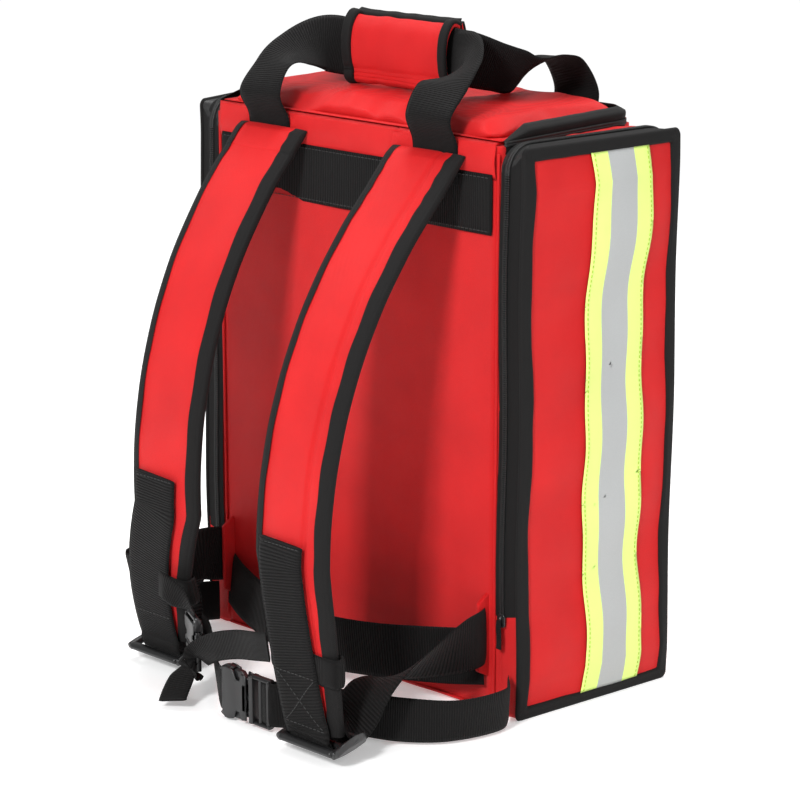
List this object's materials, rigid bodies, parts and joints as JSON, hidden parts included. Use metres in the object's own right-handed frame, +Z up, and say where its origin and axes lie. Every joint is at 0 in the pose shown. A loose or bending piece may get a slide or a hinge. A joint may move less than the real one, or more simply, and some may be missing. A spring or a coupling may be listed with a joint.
{
  "type": "trauma backpack",
  "caption": "Padded red first-responder backpack with zipped lid, fold-out side pockets, joined carry handles, shoulder harness and waist belt.",
  "frame": {"origin": "middle of the body's base, on the ground", "axes": "+X to the right as seen facing the harness, which is the wearer's left; -Y towards the wearer; +Z up"},
  "size_m": [0.43, 0.3595, 0.5704],
  "materials": {
    "red_fabric": "coated polyester oxford cloth",
    "black_webbing": "ribbed polypropylene webbing",
    "black_binding": "twill tape",
    "reflective_tape": "fluorescent tape with a silver retroreflective stripe",
    "black_plastic": "satin moulded acetal",
    "zip": "zip tape with nylon coil",
    "zip_metal": "black painted zinc",
    "stiffener": "extruded sheet",
    "padding": "padded loop cloth"
  },
  "bodies": {
    "pack": {"back_panel": "red_fabric", "front_panel": "red_fabric", "right_side_wall": "red_fabric", "left_side_wall": "red_fabric", "base_panel": "red_fabric", "frame_sheet": "stiffener", "base_board": "stiffener", "inner_divider": "padding", "lid_zip": "zip", "lid_hinge_fabric": "red_fabric", "top_band": "black_webbing", "right_wing": "red_fabric", "left_wing": "red_fabric", "lower_back_strap": "black_webbing", "handle_anchors": "black_webbing", "right_pocket_gusset": "red_fabric", "right_pocket_zip": "zip", "right_lower_panel": "red_fabric", "right_lower_tape": "reflective_tape", "left_pocket_gusset": "red_fabric", "left_pocket_zip": "zip", "left_lower_panel": "red_fabric", "left_lower_tape": "reflective_tape", "right_waist_belt": "black_webbing", "left_waist_belt": "black_webbing", "waist_buckle_socket": "black_plastic"},
    "top_lid": {"top_lid": "red_fabric"},
    "rear_handle": {"rear_handle": "black_webbing", "handle_grip": "red_fabric"},
    "front_handle": {"front_handle": "black_webbing"},
    "right_flap": {"right_flap_panel": "red_fabric", "right_flap_binding": "black_binding", "right_reflective_tape": "reflective_tape"},
    "left_flap": {"left_flap_panel": "red_fabric", "left_flap_binding": "black_binding", "left_reflective_tape": "reflective_tape"},
    "harness": {"right_shoulder_strap": "red_fabric", "left_shoulder_strap": "red_fabric", "right_strap_webbing": "black_webbing", "left_strap_webbing": "black_webbing", "right_keeper_loop": "black_webbing", "left_keeper_loop": "black_webbing", "sternum_strap": "black_webbing", "sternum_buckle_socket": "black_plastic", "right_lower_webbing": "black_webbing", "left_lower_webbing": "black_webbing"},
    "right_lock": {"right_ladder_lock": "black_plastic"},
    "left_lock": {"left_ladder_lock": "black_plastic"},
    "waist_plug": {"waist_buckle_plug": "black_plastic"},
    "waist_prong_a": {"waist_prong_a": "black_plastic"},
    "waist_prong_b": {"waist_prong_b": "black_plastic"},
    "sternum_plug": {"sternum_buckle_plug": "black_plastic"},
    "sternum_prong_a": {"sternum_prong_a": "black_plastic"},
    "sternum_prong_b": {"sternum_prong_b": "black_plastic"},
    "right_pocket_slider": {"right_pocket_zip_slider": "zip_metal"},
    "right_pocket_puller": {"right_pocket_zip_puller": "black_webbing"},
    "left_pocket_slider": {"left_pocket_zip_slider": "zip_metal"},
    "left_pocket_puller": {"left_pocket_zip_puller": "black_webbing"},
    "lid_slider": {"lid_zip_slider": "zip_metal"},
    "lid_puller": {"lid_zip_puller": "black_webbing"}
  },
  "joints": [
    {"name": "lid_open", "type": "hinge", "parent": "pack", "child": "top_lid", "pos_m": [0, -0.085, 0.4882], "axis": [1, 0, 0], "range_deg": [0, 95]},
    {"name": "rear_handle_swing", "type": "hinge", "parent": "pack", "child": "rear_handle", "pos_m": [0, -0.0877, 0.482], "axis": [1, 0, 0], "range_deg": [0, 95]},
    {"name": "front_handle_swing", "type": "hinge", "parent": "pack", "child": "front_handle", "pos_m": [0, 0.0877, 0.482], "axis": [1, 0, 0], "range_deg": [-150, 0], "deforming": ["front_handle"]},
    {"name": "right_flap_open", "type": "hinge", "parent": "pack", "child": "right_flap", "pos_m": [0.202, 0, 0.075], "axis": [0.1512, 0.9885, 0], "range_deg": [0, 100]},
    {"name": "left_flap_open", "type": "hinge", "parent": "pack", "child": "left_flap", "pos_m": [-0.202, 0, 0.075], "axis": [0.1512, -0.9885, 0], "range_deg": [0, 100]},
    {"name": "harness_swing", "type": "hinge", "parent": "pack", "child": "harness", "pos_m": [0, -0.088, 0.468], "axis": [1, 0, 0], "range_deg": [-12, 0], "deforming": ["right_lower_webbing", "left_lower_webbing"]},
    {"name": "right_lock_tilt", "type": "hinge", "parent": "harness", "child": "right_lock", "pos_m": [0.118, -0.25069, 0.015], "axis": [-1, 0, 0], "range_deg": [0, 35]},
    {"name": "left_lock_tilt", "type": "hinge", "parent": "harness", "child": "left_lock", "pos_m": [-0.13, -0.19152, 0.015], "axis": [-1, 0, 0], "range_deg": [0, 35]},
    {"name": "waist_buckle_release", "type": "slide", "parent": "pack", "child": "waist_plug", "axis": [1, 0, 0], "range_m": [0, 0.024], "deforming": ["right_waist_belt"]},
    {"name": "waist_prong_a_press", "type": "hinge", "parent": "waist_plug", "child": "waist_prong_a", "pos_m": [0.0336, -0.243, 0.0397], "axis": [0, -1, 0], "range_deg": [0, 8], "stiffness_Nm_per_rad": 0.05},
    {"name": "waist_prong_b_press", "type": "hinge", "parent": "waist_plug", "child": "waist_prong_b", "pos_m": [0.0336, -0.243, 0.0103], "axis": [0, -1, 0], "range_deg": [-8, 0], "stiffness_Nm_per_rad": 0.05},
    {"name": "sternum_buckle_release", "type": "slide", "parent": "harness", "child": "sternum_plug", "axis": [0, 0, -1], "range_m": [0, 0.022], "deforming": ["sternum_strap"]},
    {"name": "sternum_prong_a_press", "type": "hinge", "parent": "sternum_plug", "child": "sternum_prong_a", "pos_m": [-0.04332, -0.23475, 0.0459], "axis": [-0.4801, -0.8772, 0], "range_deg": [0, 8], "stiffness_Nm_per_rad": 0.03},
    {"name": "sternum_prong_b_press", "type": "hinge", "parent": "sternum_plug", "child": "sternum_prong_b", "pos_m": [-0.06068, -0.22525, 0.0459], "axis": [-0.4801, -0.8772, 0], "range_deg": [-8, 0], "stiffness_Nm_per_rad": 0.03},
    {"name": "right_zip_slide", "type": "slide", "parent": "pack", "child": "right_pocket_slider", "axis": [0, 0, 1], "range_m": [0, 0.38]},
    {"name": "right_puller_swing", "type": "hinge", "parent": "right_pocket_slider", "child": "right_pocket_puller", "pos_m": [0.173, -0.091, 0.088], "axis": [-1, 0, 0], "range_deg": [0, 150]},
    {"name": "left_zip_slide", "type": "slide", "parent": "pack", "child": "left_pocket_slider", "axis": [0, 0, 1], "range_m": [0, 0.38]},
    {"name": "left_puller_swing", "type": "hinge", "parent": "left_pocket_slider", "child": "left_pocket_puller", "pos_m": [-0.173, -0.091, 0.088], "axis": [-1, 0, 0], "range_deg": [0, 150]},
    {"name": "lid_zip_slide", "type": "slide", "parent": "pack", "child": "lid_slider", "axis": [1, 0, 0], "range_m": [-0.05, 0.05]},
    {"name": "lid_puller_swing", "type": "hinge", "parent": "lid_slider", "child": "lid_puller", "pos_m": [0, 0.091, 0.4879], "axis": [1, 0, 0], "range_deg": [0, 120]}
  ],
  "couplings": [
    {"joint": "rear_handle_swing", "follows": "lid_open", "ratio": 1},
    {"joint": "front_handle_swing", "follows": "lid_open", "ratio": -1.5},
    {"joint": "waist_prong_b_press", "follows": "waist_prong_a_press", "ratio": -1},
    {"joint": "sternum_prong_b_press", "follows": "sternum_prong_a_press", "ratio": -1}
  ]
}
